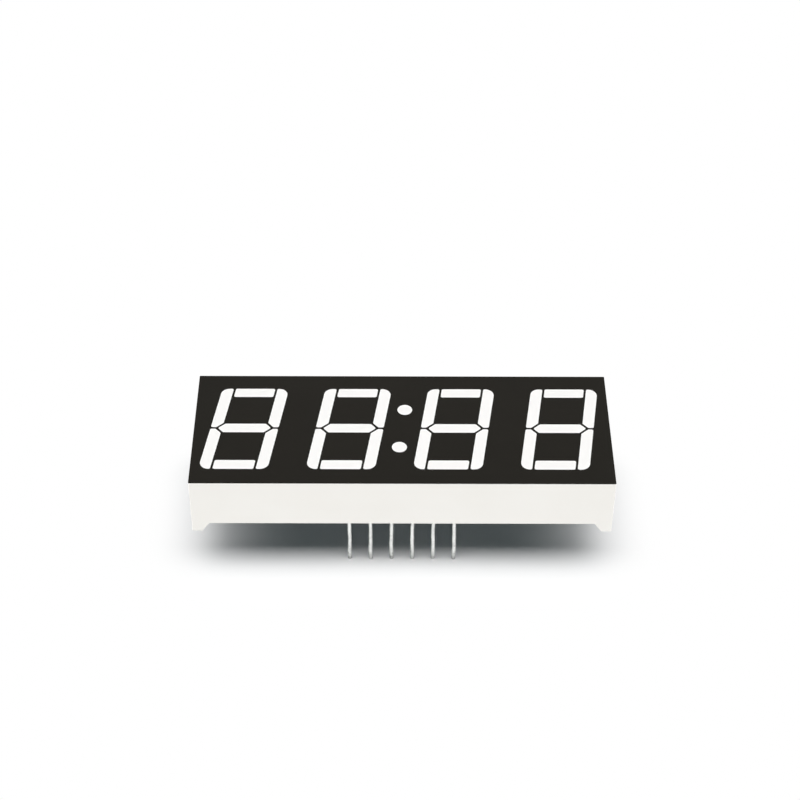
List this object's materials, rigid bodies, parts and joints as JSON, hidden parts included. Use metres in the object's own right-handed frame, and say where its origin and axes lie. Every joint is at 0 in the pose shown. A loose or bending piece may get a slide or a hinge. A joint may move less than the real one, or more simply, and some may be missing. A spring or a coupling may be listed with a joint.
{
  "type": "seven segment display module",
  "caption": "Flat block display with slanted seven segment digits and a colon under a black face, in a white reflector housing with corner feet and rows of solder pins.",
  "frame": {"origin": "centre of the body in plan, at the level of the pin tips", "axes": "+X along the row of digits from left to right, +Y up the digits, +Z out of the face"},
  "size_m": [0.0502, 0.019, 0.0147],
  "materials": {
    "white_moulding": "moulded, satin",
    "black_face": "printed, matte",
    "window_resin": "cast, smooth",
    "circuit_board": "lacquered",
    "potting_resin": "cast, glossy",
    "solder": "bright",
    "led_chip": "polished",
    "bond_wire": "drawn",
    "tinned_wire": "tinned, satin"
  },
  "bodies": {
    "root": {"reflector_housing": "white_moulding", "face_mask": "black_face", "circuit_board": "circuit_board", "potting_resin": "potting_resin", "solder_joints": "solder", "colon_upper": "window_resin", "colon_lower": "window_resin", "colon_led_chips": "led_chip", "colon_bond_wires": "bond_wire", "digit_1_segment_a": "window_resin", "digit_1_segment_b": "window_resin", "digit_1_segment_c": "window_resin", "digit_1_segment_d": "window_resin", "digit_1_segment_e": "window_resin", "digit_1_segment_f": "window_resin", "digit_1_segment_g": "window_resin", "digit_1_led_chips": "led_chip", "digit_1_bond_wires": "bond_wire", "digit_2_segment_a": "window_resin", "digit_2_segment_b": "window_resin", "digit_2_segment_c": "window_resin", "digit_2_segment_d": "window_resin", "digit_2_segment_e": "window_resin", "digit_2_segment_f": "window_resin", "digit_2_segment_g": "window_resin", "digit_2_led_chips": "led_chip", "digit_2_bond_wires": "bond_wire", "digit_3_segment_a": "window_resin", "digit_3_segment_b": "window_resin", "digit_3_segment_c": "window_resin", "digit_3_segment_d": "window_resin", "digit_3_segment_e": "window_resin", "digit_3_segment_f": "window_resin", "digit_3_segment_g": "window_resin", "digit_3_led_chips": "led_chip", "digit_3_bond_wires": "bond_wire", "digit_4_segment_a": "window_resin", "digit_4_segment_b": "window_resin", "digit_4_segment_c": "window_resin", "digit_4_segment_d": "window_resin", "digit_4_segment_e": "window_resin", "digit_4_segment_f": "window_resin", "digit_4_segment_g": "window_resin", "digit_4_led_chips": "led_chip", "digit_4_bond_wires": "bond_wire", "pin_1": "tinned_wire", "pin_2": "tinned_wire", "pin_3": "tinned_wire", "pin_4": "tinned_wire", "pin_5": "tinned_wire", "pin_6": "tinned_wire", "pin_7": "tinned_wire", "pin_8": "tinned_wire", "pin_9": "tinned_wire", "pin_10": "tinned_wire", "pin_11": "tinned_wire", "pin_12": "tinned_wire"}
  },
  "joints": []
}
